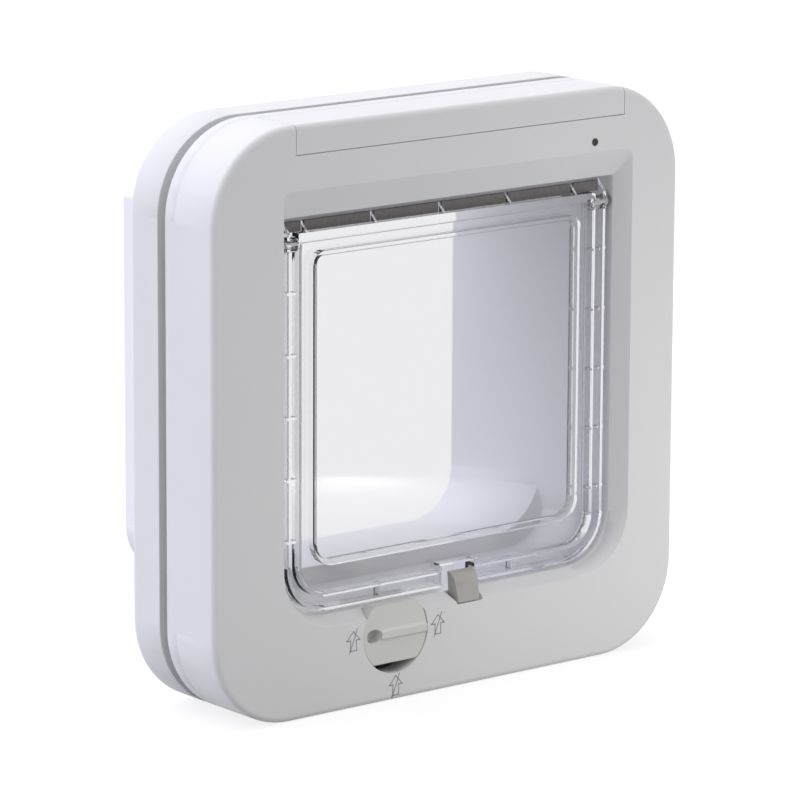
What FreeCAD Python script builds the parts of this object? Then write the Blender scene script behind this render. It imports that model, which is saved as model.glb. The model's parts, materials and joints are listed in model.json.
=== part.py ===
import FreeCAD, Part
import os
from math import atan2, cos, degrees, hypot, radians, sin, sqrt

V = FreeCAD.Vector

# A battery cat flap that reads the cat's chip, for a door or a pane of glass.
# Millimetres. X runs to the right seen from the room, Y runs out of the house, Z is up.
# It is modelled about the middle of its front face, and moved to stand on Z = 0 when it is written.

# Outside of the two housings
face_size = 210.0
corner_radius = 33.0
wall = 2.4
front_edge_radius = 2.2
rear_edge_radius = 3.0
housing_depth = 27.2
back_shell_depth = 5.4
back_plate = 2.0
door_gap = 4.5
frame_depth = 16.9

# The opening in the face, which sits a little high and to the right
opening_x = 4.2
opening_flare = 4.3
opening_flare_low = 3.0
opening_flare_high = 10.2
face_opening_low_radius = 23.0
face_opening_high_radius = 3.0
funnel_depth = 5.9
funnel_wall = 2.2

# The tunnel, its sides, floor and ceilings measured in from the edge of the face
tunnel_side_margin = 30.3
tunnel_floor_margin = 34.2
tunnel_ceiling_margin = 37.4
hump_ceiling_margin = 33.1
tunnel_end = 97.0
tunnel_wall = 1.8
tunnel_low_radius = 18.0
tunnel_outer_radius = 20.0
tunnel_top_radius = 0.8
lip_start = 42.5
lip_depth = 46.0
lip_rise = 5.8
lip_radius = 20.0
tunnel_end_radius = 19.0
flange_reach = 3.0
flange_thickness = 1.8

# Gaps between pieces
slip_gap = 0.3
pin_seat_gap = 0.02
shaft_running_gap = 0.06
touch_gap = 0.1

# The hinge
hinge_y = 9.4
hinge_margin = 43.0
pin_radius = 1.5
pin_in_flap = 5.0
pin_running_gap = 0.05
boss_radius = 3.4
boss_length = 6.0
boss_floor = 0.8
boss_recess_radius = 3.2
boss_recess_depth = 1.0

# The clear flap
flap_side_gap = 2.3
flap_floor_gap = 1.4
flap_above_axis = 8.9
flap_front_gap = 0.9
flap_rim_depth = 5.2
flap_low_radius = 17.0
flap_top_radius = 2.0
flap_wall = 1.4
flap_channel = 3.6
top_bar_extra = 2.2
flap_web = 1.4
inner_corner_radius = 0.6
knuckle_radius = 2.8
knuckle_length = 6.4
knuckle_reach = 1.2
panel_side_inset = 14.2
panel_low_inset = 17.2
panel_top_gap = 3.4
panel_low_radius = 8.5
panel_top_radius = 4.5
panel_raise = 3.1
panel_thickness = 1.8
rib_width = 1.0
rib_front_gap = 1.2
rib_pitch_across = 30.5
rib_shift = -2.6
rib_pitch_down = 22.0
top_ribs_each_side = 2
strip_depth = 1.0
strip_low_gap = 0.1
strip_high_gap = 1.2
strip_end_gap = 0.3

# The latch that stops the flap from swinging in
latch_x = 8.7
latch_width = 10.4
latch_tip_width = 11.0
latch_foot_width = 9.6
latch_side_gap = 0.5
latch_back_gap = 0.4
latch_mouth_flare = 1.7
latch_tip_thickness = 1.0
latch_brow_thickness = 4.4
latch_brow_drop = 4.9
latch_brow_bulge = 0.9
latch_stem_thickness = 3.3
latch_flap_gap = 0.6
latch_tip_gap = 2.0
latch_foot_front = 0.4
latch_foot_drop = 0.6
latch_length = 33.8
latch_travel = 4.5
notch_side_gap = 2.4
notch_height = 7.7
notch_wall = 1.0

# The motor that lifts the latch
crank_radius = 10.0
crank_below_floor = 19.2
crank_arm = 1.8
crank_gap = 0.4
crank_pin_radius = 1.5
crank_pin_gap = 0.12
crank_eye_wall = 1.0
crank_boss_radius = 3.2
motor_radius = 10.0
motor_half_height = 7.7
motor_back_gap = 3.2
motor_shaft_radius = 1.0
motor_shaft_depth = 7.0
bracket_plate = 1.2
bracket_ear = 7.0
bracket_screw_below = 7.0
bracket_screw_above = 11.0
bracket_edge = 0.4
guide_rib = 1.2
guide_gap = 0.2

# The four-way lock knob
knob_x = -25.1
knob_below_floor = 9.6
knob_radius = 14.2
knob_gap = 0.4
knob_flat = 10.6
knob_face = 0.4
knob_thickness = 5.0
grip_proud = 0.6
grip_half_height = 1.2
grip_slope = 1.0
grip_start = 6.6
grip_sink = 0.2
dimple_radius = 2.4
dimple_length = 1.4
dimple_middle = 9.6
dimple_depth = 3.4
pocket_wall = 1.6
pocket_floor = 2.0
knob_shaft_radius = 3.0
knob_socket_depth = 2.0
shaft_end_cover = 2.2
shaft_boss_wall = 2.4
shaft_boss_gap = 2.2
clip_thickness = 0.8
clip_radius = 5.0
clip_groove_depth = 0.6
clip_mouth_part = 0.7
cam_radius = 13.5
cam_flat = 6.7
cam_thickness = 3.8
cam_flap_gap = 0.7
cam_slot_gap = 0.6
cam_hub_radius = 5.5

# Batteries, AA size, in two rows staggered up the slope of the bay
cell_radius = 7.1
cell_length = 49.2
cell_edge_radius = 0.6
cell_nub_radius = 2.75
cell_nub_length = 1.3
cell_nub_root = 0.2
cell_seat_gap = 0.25
cell_gap = 0.3
cell_row_gap = 0.14
row_high_margin = 10.0
row_high_front_gap = 0.4
row_low_back_gap = 0.5
bay_left_margin = 35.4
bay_right_margin = 26.0
contact_room = 4.2
contact_plate = 0.5
contact_inset = 0.7
spring_width = 5.0
spring_height = 9.0
spring_foot = 1.0
spring_tip_gap = 0.1
spring_crown_thickness = 0.8
tray_wall = 2.0
tray_front_gap = 0.8
tray_edge_rise = 1.6
tray_beam_top = 3.0
tray_beam_back = 2.0
tray_beam_front = 1.4
cover_strip = 10.6
cover_gap = 0.25
cover_skirt = 3.0
cover_skirt_gap = 0.4
cover_skirt_wall = 1.4

# Electronics
board_thickness = 1.6
board_post = 8.4
board_inner_gap = 2.4
board_outer_gap = 2.5
board_end_margin = 61.0
chip_size = 9.0
chip_thickness = 1.4
antenna_width = 3.4
antenna_thickness = 1.6
antenna_gap = 0.15
antenna_back_gap = 0.4
led_from_board_left = 13.6
led_margin = 19.2
led_radius = 1.3
led_proud = 0.2
led_collar_radius = 2.1
led_collar_length = 1.5
switch_board_width = 31.0
switch_board_height = 15.0
switch_board_margin = 27.5
switch_board_end_gap = 1.0
switch_board_tray_gap = 3.0
button_from_board_left = 19.5
button_radius = 2.2
button_travel = 1.5
button_length = 7.0
button_edge_radius = 0.6
switch_size = 6.0
switch_height = 4.0
switch_rise = 3.0
switch_floor = 1.0

# Fixings
fixing_side_margin = 17.0
fixing_end_margin = 19.0
fixing_radius = 2.0
fixing_boss_radius = 4.5
fixing_head_radius = 4.0
fixing_head_height = 2.4
fixing_head_edge_radius = 0.8
fixing_slot_depth = 1.2
fixing_clear_gap = 0.3
fixing_depth_in_housing = 14.0
cap_radius = 6.5
cap_depth = 3.0
cap_wall = 1.2
cap_proud = 0.4
cap_edge_radius = 0.5
counterbore_depth = 8.0
screw_side_margin = 12.0
screw_end_margin = 53.0
screw_radius = 1.4
screw_head_radius = 2.7
screw_head_height = 1.6
screw_head_gap = 0.2
screw_slot_depth = 0.9
screw_length = 12.0
screw_tip_gap = 0.5
screw_boss_radius = 3.4
slot_arm = 2.0
slot_half_width = 0.45
small_screw_radius = 1.2
small_head_radius = 2.2
small_head_height = 1.2
small_screw_length = 6.0
small_boss_radius = 2.8
board_screw_inset = 4.0
seal_inset = 9.0
seal_width = 7.0
seal_thickness = 1.1

# Worked out from the sizes above
half = face_size / 2
bezel_depth = housing_depth - back_shell_depth
inside_back = housing_depth - back_plate
frame_front = housing_depth + door_gap
frame_back = frame_front + frame_depth
tunnel_half = half - tunnel_side_margin
tunnel_floor = tunnel_floor_margin - half
tunnel_ceiling = half - tunnel_ceiling_margin
hump_ceiling = half - hump_ceiling_margin
flange_front = inside_back - flange_thickness
antenna_front = flange_front - antenna_back_gap - antenna_width
hump_end = antenna_front - slip_gap - tunnel_wall
face_opening_half = tunnel_half + opening_flare
face_opening_low = tunnel_floor - opening_flare_low
face_opening_high = hump_ceiling + opening_flare_high
hinge_z = half - hinge_margin
flap_half = tunnel_half - flap_side_gap
flap_low = tunnel_floor + flap_floor_gap
flap_top = hinge_z + flap_above_axis
flap_front = funnel_depth + flap_front_gap
flap_back = flap_front + flap_rim_depth
web_front = flap_back - flap_web
rim_band = 2 * flap_wall + flap_channel
ridge_top = flap_top - flap_wall - flap_channel
panel_half = tunnel_half - panel_side_inset
panel_low = tunnel_floor + panel_low_inset
panel_top = hinge_z - panel_top_gap
latch_back = flap_front - latch_flap_gap
latch_front = latch_back - latch_stem_thickness
notch_top = flap_low + notch_height
latch_tip = notch_top - latch_tip_gap
crank_x = latch_x + crank_radius
crank_z = tunnel_floor - crank_below_floor
crank_swing = degrees(2 * atan2(latch_travel / 2, sqrt(crank_radius ** 2 - (latch_travel / 2) ** 2)))
pin_rest_x = crank_x - crank_radius * cos(radians(crank_swing / 2))
pin_rest_z = crank_z - latch_travel / 2
crank_front = latch_back + crank_gap
crank_back = crank_front + crank_arm
bracket_front = crank_back + crank_gap
motor_front = bracket_front + bracket_plate
motor_length = inside_back - motor_back_gap - motor_front
bracket_right = crank_x + motor_radius + bracket_ear
bracket_screw_x = bracket_right - small_boss_radius - bracket_edge
knob_z = tunnel_floor - knob_below_floor
knob_back = knob_face + knob_thickness
pocket_front = knob_back + knob_gap
pocket_back = pocket_front + pocket_floor
cam_front = flap_back + cam_flap_gap
cam_back = cam_front + cam_thickness
knob_shaft_end = inside_back - shaft_end_cover
shaft_boss_radius = knob_shaft_radius + shaft_boss_wall
shaft_boss_front = cam_back + shaft_boss_gap
fixing_x = half - fixing_side_margin
fixing_z = half - fixing_end_margin
screw_x = half - screw_side_margin
screw_z = half - screw_end_margin
bay_left = bay_left_margin - half
bay_right = half - bay_right_margin
cover_low = half - cover_strip
switch_board_left = fixing_x - fixing_boss_radius - switch_board_end_gap - switch_board_width
switch_board_low = half - switch_board_margin
led_x = switch_board_left + led_from_board_left
led_z = half - led_margin
button_x = switch_board_left + button_from_board_left
cell_pitch = cell_length + cell_nub_length
cell_end = switch_board_left - switch_board_tray_gap - tray_wall - contact_room
cell_start = cell_end - 2 * cell_pitch - cell_gap
row_high_y = wall + row_high_front_gap + cell_radius
row_high_z = half - row_high_margin
row_low_y = inside_back - row_low_back_gap - cell_radius
row_low_z = row_high_z - sqrt((2 * cell_radius + cell_row_gap) ** 2 - (row_low_y - row_high_y) ** 2)
board_y = inside_back - board_post - board_thickness
board_back = board_y + board_thickness
board_x = opening_x + tunnel_half + tunnel_wall + board_inner_gap
board_width = half - wall - board_outer_gap - board_x
board_half_height = half - board_end_margin


def outline(half_width, low, high, low_radius, high_radius, y, middle=0.0):
    """A closed outline across the tunnel at depth y, with its own corner radii below and above."""
    left = middle - half_width
    right = middle + half_width
    diagonal = 1 - sqrt(0.5)
    corners = (
        (right, low, -1, 1, low_radius),
        (right, high, -1, -1, high_radius),
        (left, high, 1, -1, high_radius),
        (left, low, 1, 1, low_radius),
    )
    edges = []
    starts = []
    ends = []
    for index, (x, z, inward_x, inward_z, radius) in enumerate(corners):
        beside = V(x + inward_x * radius, y, z)
        above = V(x, y, z + inward_z * radius)
        middle_point = V(x + inward_x * radius * diagonal, y, z + inward_z * radius * diagonal)
        first, last = (beside, above) if index % 2 == 0 else (above, beside)
        edges.append(Part.Arc(first, middle_point, last).toShape())
        starts.append(first)
        ends.append(last)
    loop = []
    for index, arc in enumerate(edges):
        loop.append(arc)
        loop.append(Part.LineSegment(ends[index], starts[(index + 1) % 4]).toShape())
    return Part.Wire(loop)


def slab(wire, depth):
    """The outline filled and pushed out of the house by depth."""
    return Part.Face(wire).extrude(V(0, depth, 0))


def loft(first, last):
    return Part.makeLoft([first, last], True, True)


def box(x0, x1, y0, y1, z0, z1):
    return Part.makeBox(x1 - x0, y1 - y0, z1 - z0, V(x0, y0, z0))


def rod_y(x, z, radius, y0, y1):
    return Part.makeCylinder(radius, y1 - y0, V(x, y0, z), V(0, 1, 0))


def rod_x(y, z, radius, x0, x1):
    return Part.makeCylinder(radius, x1 - x0, V(x0, y, z), V(1, 0, 0))


def rod_z(x, y, radius, z0, z1):
    return Part.makeCylinder(radius, z1 - z0, V(x, y, z0), V(0, 0, 1))


def prism_x(points, x0, x1):
    """A profile given as (y, z) points, pushed along X."""
    corners = [V(x0, y, z) for y, z in points]
    return Part.Face(Part.makePolygon(corners + corners[:1])).extrude(V(x1 - x0, 0, 0))


def prism_y(points, y0, y1):
    """A profile given as (x, z) points, pushed along Y."""
    corners = [V(x, y0, z) for x, z in points]
    return Part.Face(Part.makePolygon(corners + corners[:1])).extrude(V(0, y1 - y0, 0))


def body_slab(inset, y0, y1):
    """The rounded square of both housings, drawn in from the outside by inset."""
    side = half - inset
    radius = corner_radius - inset
    return slab(outline(side, -side, side, radius, radius, y0), y1 - y0)


def body_ring(outer_inset, inner_inset, y0, y1):
    return body_slab(outer_inset, y0, y1).cut(body_slab(inner_inset, y0, y1))


def board_screw_places():
    """Two places on the tall board and two on the small one."""
    tall_x = board_x + board_width / 2
    tall_z = board_half_height - board_screw_inset
    low_z = switch_board_low + board_screw_inset
    far_x = switch_board_left + switch_board_width - board_screw_inset
    near_x = switch_board_left + board_screw_inset
    return [(tall_x, tall_z), (tall_x, -tall_z), (near_x, low_z), (far_x, low_z)]


def bracket_screw_places():
    low = crank_z - bracket_screw_below
    high = crank_z + bracket_screw_above
    return [(bracket_screw_x, low), (bracket_screw_x, high)]


def small_screw(x, z, seat, toward):
    """A small round-headed screw; its head stands off the seat against the way it goes in."""
    tip = seat + toward * small_screw_length
    top = seat - toward * small_head_height
    shank = rod_y(x, z, small_screw_radius - pin_seat_gap, min(seat, tip), max(seat, tip))
    head = rod_y(x, z, small_head_radius, min(seat, top), max(seat, top))
    return shank.fuse(head).removeSplitter()


def edges_in_plane(shape, y):
    found = []
    for edge in shape.Edges:
        bounds = edge.BoundBox
        if abs(bounds.YMin - y) < 0.01 and abs(bounds.YMax - y) < 0.01:
            found.append(edge)
    return found


def four(x, z):
    """The four places that mirror one another about the middle of the face."""
    return [(x, z), (-x, z), (-x, -z), (x, -z)]


def face_opening(grow, y):
    return outline(
        face_opening_half + grow,
        face_opening_low - grow,
        face_opening_high + grow,
        face_opening_low_radius + grow,
        face_opening_high_radius + grow,
        y,
        opening_x,
    )


def tunnel_inside(y, ceiling, rise=0.0, radius=tunnel_low_radius):
    return outline(tunnel_half, tunnel_floor + rise, ceiling, radius, tunnel_top_radius, y, opening_x)


def tunnel_outside(y, ceiling, grow=0.0):
    return outline(
        tunnel_half + tunnel_wall + grow,
        tunnel_floor - tunnel_wall - grow,
        ceiling + tunnel_wall + grow,
        tunnel_outer_radius + grow,
        tunnel_top_radius + tunnel_wall + grow,
        y,
        opening_x,
    )


def latch_slot():
    """The way through the sill that the latch rises in, flared upward and open to the face at its foot."""
    side = latch_width / 2 + latch_side_gap
    foot = face_opening_low - latch_foot_drop - slip_gap
    wide = side + latch_mouth_flare
    back = latch_back + latch_back_gap
    mouth_shape = (
        (latch_x - side, foot),
        (latch_x + side, foot),
        (latch_x + wide, flap_low),
        (latch_x - wide, flap_low),
    )
    mouth = prism_y(mouth_shape, -1.0, back)
    throat_low = foot - 4 * wall
    throat = box(latch_x - side, latch_x + side, latch_front - slip_gap, back, throat_low, foot)
    return mouth.fuse(throat)


def front_body():
    """The outside of the front half as one solid, with its front edge rounded over."""
    solid = body_slab(0, 0, bezel_depth)
    return solid.makeFillet(front_edge_radius, edges_in_plane(solid, 0))


def bay_mouth(gap):
    """The part of the front half that belongs to the battery cover."""
    return box(bay_left + gap, bay_right - gap, -1, bezel_depth - gap, cover_low + gap, half + 1)


def pocket_window():
    """The knob's pocket has no floor below the knob's lower flat."""
    reach = knob_radius + knob_gap
    window = rod_y(knob_x, knob_z, reach, knob_back, pocket_back + 1)
    below = box(knob_x - reach, knob_x + reach, 0, housing_depth, knob_z - reach, knob_z - knob_flat)
    return window.common(below)


def front_bezel():
    shell = front_body().cut(body_slab(wall, wall, bezel_depth))
    funnel_end = tunnel_inside(funnel_depth, hump_ceiling)
    outer_end = outline(
        tunnel_half + funnel_wall,
        tunnel_floor - funnel_wall,
        hump_ceiling + funnel_wall,
        tunnel_low_radius + funnel_wall,
        tunnel_top_radius + funnel_wall,
        funnel_depth,
        opening_x,
    )
    shell = shell.fuse(loft(face_opening(funnel_wall, wall / 2), outer_end))
    pocket = rod_y(knob_x, knob_z, knob_radius + knob_gap + pocket_wall, wall / 2, pocket_back)
    above_sill = tunnel_floor - tunnel_wall - slip_gap
    shelf = box(-half, half, funnel_depth, housing_depth, above_sill, half)
    shell = shell.fuse(pocket.cut(shelf))
    for x, z in four(fixing_x, fixing_z):
        shell = shell.fuse(rod_y(x, z, fixing_boss_radius, wall / 2, bezel_depth))
    for x, z in four(screw_x, screw_z):
        shell = shell.fuse(rod_y(x, z, screw_boss_radius, wall / 2, bezel_depth))
    for x, z in bracket_screw_places():
        shell = shell.fuse(rod_y(x, z, small_boss_radius, wall / 2, bracket_front))
    shell = shell.cut(loft(face_opening(0, 0), funnel_end))
    shell = shell.cut(rod_y(knob_x, knob_z, knob_radius + knob_gap, -1, pocket_front))
    shell = shell.cut(rod_y(knob_x, knob_z, knob_shaft_radius + shaft_running_gap, 0, pocket_back + 1))
    shell = shell.cut(pocket_window())
    shell = shell.cut(latch_slot())
    shell = shell.cut(bay_mouth(0))
    shell = shell.cut(rod_y(led_x, led_z, led_radius + touch_gap, -1, wall + 1))
    for x, z in four(fixing_x, fixing_z):
        start = housing_depth - fixing_depth_in_housing
        shell = shell.cut(rod_y(x, z, fixing_radius, start, bezel_depth + 1))
    for x, z in four(screw_x, screw_z):
        start = inside_back - screw_length
        shell = shell.cut(rod_y(x, z, screw_radius, start, bezel_depth + 1))
    for x, z in bracket_screw_places():
        start = motor_front - small_screw_length - slip_gap
        shell = shell.cut(rod_y(x, z, small_screw_radius, start, bracket_front + 1))
    return shell.removeSplitter()


def battery_cover():
    shell = front_body().cut(body_slab(wall, wall, bezel_depth + 1))
    cover = shell.common(bay_mouth(cover_gap))
    inside = half - wall
    low = inside - cover_skirt
    high = inside + wall / 2
    for x in (bay_left + cover_gap, bay_right - cover_gap - cover_skirt_wall):
        cover = cover.fuse(box(x, x + cover_skirt_wall, wall / 2, bezel_depth - wall, low, high))
    return cover.removeSplitter()


def back_housing():
    shell = body_ring(0, wall, bezel_depth, housing_depth)
    shell = shell.fuse(body_slab(0, inside_back, housing_depth))
    shell = shell.fuse(rod_y(knob_x, knob_z, shaft_boss_radius, shaft_boss_front, inside_back))
    for x, z in four(fixing_x, fixing_z):
        shell = shell.fuse(rod_y(x, z, fixing_boss_radius, bezel_depth, inside_back))
    for x, z in four(screw_x, screw_z):
        shell = shell.fuse(rod_y(x, z, screw_boss_radius, bezel_depth, inside_back))
    for x, z in board_screw_places():
        shell = shell.fuse(rod_y(x, z, small_boss_radius, board_back, inside_back))
    hole = slab(tunnel_outside(inside_back - 1, tunnel_ceiling, slip_gap), back_plate + 2)
    shell = shell.cut(hole)
    bore = knob_shaft_radius + shaft_running_gap
    shell = shell.cut(rod_y(knob_x, knob_z, bore, shaft_boss_front - 1, knob_shaft_end + slip_gap))
    for x, z in four(fixing_x, fixing_z):
        shell = shell.cut(rod_y(x, z, fixing_radius, bezel_depth - 1, housing_depth + 1))
    for x, z in four(screw_x, screw_z):
        recess = housing_depth - screw_head_height
        shell = shell.cut(rod_y(x, z, screw_radius, bezel_depth - 1, housing_depth + 1))
        shell = shell.cut(rod_y(x, z, screw_head_radius + screw_head_gap, recess, housing_depth + 1))
    for x, z in board_screw_places():
        shell = shell.cut(rod_y(x, z, small_screw_radius, 0, board_y + small_screw_length + slip_gap))
    return shell.removeSplitter()


def tunnel():
    hump = slab(tunnel_outside(funnel_depth, hump_ceiling), hump_end + tunnel_wall - funnel_depth)
    run = slab(tunnel_outside(hump_end, tunnel_ceiling), tunnel_end - hump_end)
    flange = slab(tunnel_outside(flange_front, tunnel_ceiling, flange_reach), flange_thickness)
    flange = flange.cut(rod_y(knob_x, knob_z, shaft_boss_radius + slip_gap, 0, housing_depth))
    solid = hump.fuse([run, flange])
    for side in (-1, 1):
        inner = opening_x + side * tunnel_half
        outer = inner + side * boss_length
        solid = solid.fuse(rod_x(hinge_y, hinge_z, boss_radius, min(inner, outer), max(inner, outer)))
    void = slab(tunnel_inside(funnel_depth - 1, hump_ceiling), hump_end - funnel_depth + 1)
    front_run = slab(tunnel_inside(hump_end - 1, tunnel_ceiling), lip_start - hump_end + 1)
    lip = tunnel_inside(lip_depth, tunnel_ceiling, lip_rise, lip_radius)
    mouth = tunnel_inside(tunnel_end, tunnel_ceiling, 0, tunnel_end_radius)
    climb = loft(tunnel_inside(lip_start, tunnel_ceiling), lip)
    fall = loft(lip, mouth)
    solid = solid.cut(void.fuse([front_run, climb, fall]))
    for side in (-1, 1):
        start = opening_x + side * (tunnel_half - 1)
        floor = opening_x + side * (tunnel_half + boss_length - boss_floor)
        bore = pin_radius + pin_seat_gap
        solid = solid.cut(rod_x(hinge_y, hinge_z, bore, min(start, floor), max(start, floor)))
        recess = opening_x + side * (tunnel_half + boss_recess_depth)
        low, high = min(start, recess), max(start, recess)
        solid = solid.cut(rod_x(hinge_y, hinge_z, boss_recess_radius, low, high))
    reach = cam_radius + cam_slot_gap
    slot_back = cam_back + cam_slot_gap
    low = tunnel_floor - tunnel_wall - 1
    slot = box(knob_x - reach, knob_x + reach, cam_front - cam_slot_gap, slot_back, low, flap_low)
    solid = solid.cut(slot)
    return solid.cut(latch_slot()).removeSplitter()


def hinge_pin(side):
    outer = opening_x + side * (tunnel_half + boss_length - boss_floor - slip_gap)
    inner = opening_x + side * (flap_half - pin_in_flap)
    return rod_x(hinge_y, hinge_z, pin_radius, min(outer, inner), max(outer, inner))


def flap_outline(inset, y, top_drop=0.0):
    return outline(
        flap_half - inset,
        flap_low + inset,
        flap_top - inset - top_drop,
        flap_low_radius - inset,
        max(flap_top_radius - inset, inner_corner_radius),
        y,
        opening_x,
    )


def flap_band(outer_inset, inner_inset, y0, y1):
    """A ring round the flap, wider along the top where its inner edge lies lower."""
    outer = slab(flap_outline(outer_inset, y0), y1 - y0)
    return outer.cut(slab(flap_outline(inner_inset, y0, top_bar_extra), y1 - y0))


def top_rib_places():
    steps = range(-top_ribs_each_side, top_ribs_each_side + 1)
    return [opening_x + rib_shift + step * rib_pitch_across for step in steps]


def flap_ribs():
    """Cross ribs in the channel round the rim, evenly spaced on each side."""
    ribs = []
    front = flap_front + rib_front_gap
    back = flap_back - flap_web / 2
    thick = rib_width / 2
    near = flap_wall / 2
    far = rim_band - flap_wall / 2
    for x in top_rib_places():
        ribs.append(box(x - thick, x + thick, flap_front, back, ridge_top - near, flap_top - near))
    across = int((flap_half - flap_low_radius) // rib_pitch_across)
    for step in range(-across, across + 1):
        x = opening_x + step * rib_pitch_across
        ribs.append(box(x - thick, x + thick, front, back, flap_low + near, flap_low + far))
    middle = (flap_top + flap_low) / 2
    down = int((flap_top - middle - flap_low_radius) // rib_pitch_down)
    for step in range(-down, down + 1):
        z = middle + step * rib_pitch_down
        for side in (-1, 1):
            outer = opening_x + side * (flap_half - near)
            inner = opening_x + side * (flap_half - far)
            ribs.append(box(min(outer, inner), max(outer, inner), front, back, z - thick, z + thick))
    return ribs


def flap_panel():
    """The thin sheet inside the ridge, with its middle raised toward the room as a shallow tray."""
    band_front = flap_front + panel_raise
    band_back = band_front + panel_thickness
    inner = rim_band - flap_wall / 2
    band = slab(flap_outline(inner, band_front, top_bar_extra), panel_thickness)
    raised = slab(panel_outline(0, flap_front), band_back - flap_front)
    hollow = slab(panel_outline(panel_thickness, flap_front + panel_thickness), flap_rim_depth)
    return band.fuse(raised).cut(hollow)


def panel_outline(inset, y):
    return outline(
        panel_half - inset,
        panel_low + inset,
        panel_top - inset,
        panel_low_radius - inset,
        panel_top_radius - inset,
        y,
        opening_x,
    )


def flap_knuckle(side):
    """The round end that turns on a hinge pin."""
    outer = opening_x + side * (flap_half + knuckle_reach)
    inner = opening_x + side * (flap_half - knuckle_length)
    return rod_x(hinge_y, hinge_z, knuckle_radius, min(outer, inner), max(outer, inner))


def top_slope():
    """What is taken off above the top bar, so that the ribs and cheeks there slope back to the web."""
    reach = flap_half + 1
    profile = (
        (flap_front - 1, ridge_top),
        (flap_front, ridge_top),
        (web_front, flap_top - flap_wall),
        (web_front, flap_top + 1),
        (flap_front - 1, flap_top + 1),
    )
    return prism_x(profile, opening_x - reach, opening_x + reach)


def flap():
    rim_inside = slab(flap_outline(flap_wall, flap_front), flap_rim_depth)
    rim = slab(flap_outline(0, flap_front), flap_rim_depth).cut(rim_inside)
    web = flap_band(flap_wall / 2, rim_band, web_front, flap_back)
    ridge = flap_band(rim_band - flap_wall, rim_band, flap_front, flap_back)
    solid = rim.fuse([web, ridge, flap_panel(), flap_knuckle(-1), flap_knuckle(1)] + flap_ribs())
    solid = solid.cut(top_slope())
    notch_half = latch_width / 2 + notch_side_gap
    frame_side = notch_half + notch_wall
    frame_top = notch_top + notch_wall
    frame = box(latch_x - frame_side, latch_x + frame_side, flap_front, flap_back, flap_low, frame_top)
    notch = box(latch_x - notch_half, latch_x + notch_half, 0, housing_depth, flap_low - 1, notch_top)
    solid = solid.fuse(frame).cut(notch)
    for side in (-1, 1):
        start = opening_x + side * (flap_half + knuckle_reach + 1)
        floor = opening_x + side * (flap_half - pin_in_flap - slip_gap)
        bore = pin_radius + pin_running_gap
        solid = solid.cut(rod_x(hinge_y, hinge_z, bore, min(start, floor), max(start, floor)))
    return solid.removeSplitter()


def draught_strip():
    """Pile strip on the web above the flap's top bar, one length between each pair of ribs."""
    low = ridge_top + strip_low_gap
    high = flap_top - strip_high_gap
    front = web_front - strip_depth
    margin = rib_width / 2 + strip_end_gap
    cheek = flap_half - flap_wall + rib_width / 2
    places = [opening_x - cheek] + top_rib_places() + [opening_x + cheek]
    lengths = []
    for left, right in zip(places, places[1:]):
        lengths.append(box(left + margin, right - margin, front, web_front, low, high))
    return Part.makeCompound(lengths)


def latch_side_shape():
    """The latch seen from its side: a flat back, a rounded brow and a face that leans to its foot."""
    tip_front = latch_back - latch_tip_thickness
    brow_y = latch_back - latch_brow_thickness
    brow_z = latch_tip - latch_brow_drop
    run = tip_front - brow_y
    bulge = latch_brow_bulge / hypot(run, latch_brow_drop)
    middle_y = (tip_front + brow_y) / 2 - latch_brow_drop * bulge
    middle_z = (latch_tip + brow_z) / 2 + run * bulge
    foot = face_opening_low - latch_foot_drop
    bottom = latch_tip - latch_length
    brow = Part.Arc(V(0, tip_front, latch_tip), V(0, middle_y, middle_z), V(0, brow_y, brow_z))
    corners = [
        V(0, brow_y, brow_z),
        V(0, latch_foot_front, face_opening_low),
        V(0, latch_foot_front, foot),
        V(0, latch_front, foot),
        V(0, latch_front, bottom),
        V(0, latch_back, bottom),
        V(0, latch_back, latch_tip),
        V(0, tip_front, latch_tip),
    ]
    edges = [brow.toShape()]
    for first, second in zip(corners, corners[1:]):
        edges.append(Part.LineSegment(first, second).toShape())
    return Part.Face(Part.Wire(edges))


def latch_slider():
    """A rounded tab on a flat stem, with a cross slot low down for the crank pin."""
    foot = face_opening_low - latch_foot_drop
    bottom = latch_tip - latch_length
    tip_half = latch_tip_width / 2
    foot_half = latch_foot_width / 2
    stem_half = latch_width / 2
    right_side = (
        (tip_half, latch_tip),
        (foot_half, face_opening_low),
        (foot_half, foot),
        (stem_half, foot),
        (stem_half, bottom),
    )
    front_shape = [(latch_x + x, z) for x, z in right_side]
    front_shape += [(latch_x - x, z) for x, z in reversed(right_side)]
    side_shape = latch_side_shape()
    side_shape.translate(V(latch_x - tip_half, 0, 0))
    solid = side_shape.extrude(V(latch_tip_width, 0, 0)).common(prism_y(front_shape, -half, half))
    reach = crank_pin_radius + crank_pin_gap
    low_x = latch_x - reach - guide_gap
    high_x = pin_rest_x + reach + guide_gap
    slot = box(low_x, high_x, latch_front - 1, latch_back + 1, pin_rest_z - reach, pin_rest_z + reach)
    return solid.cut(slot)


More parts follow.
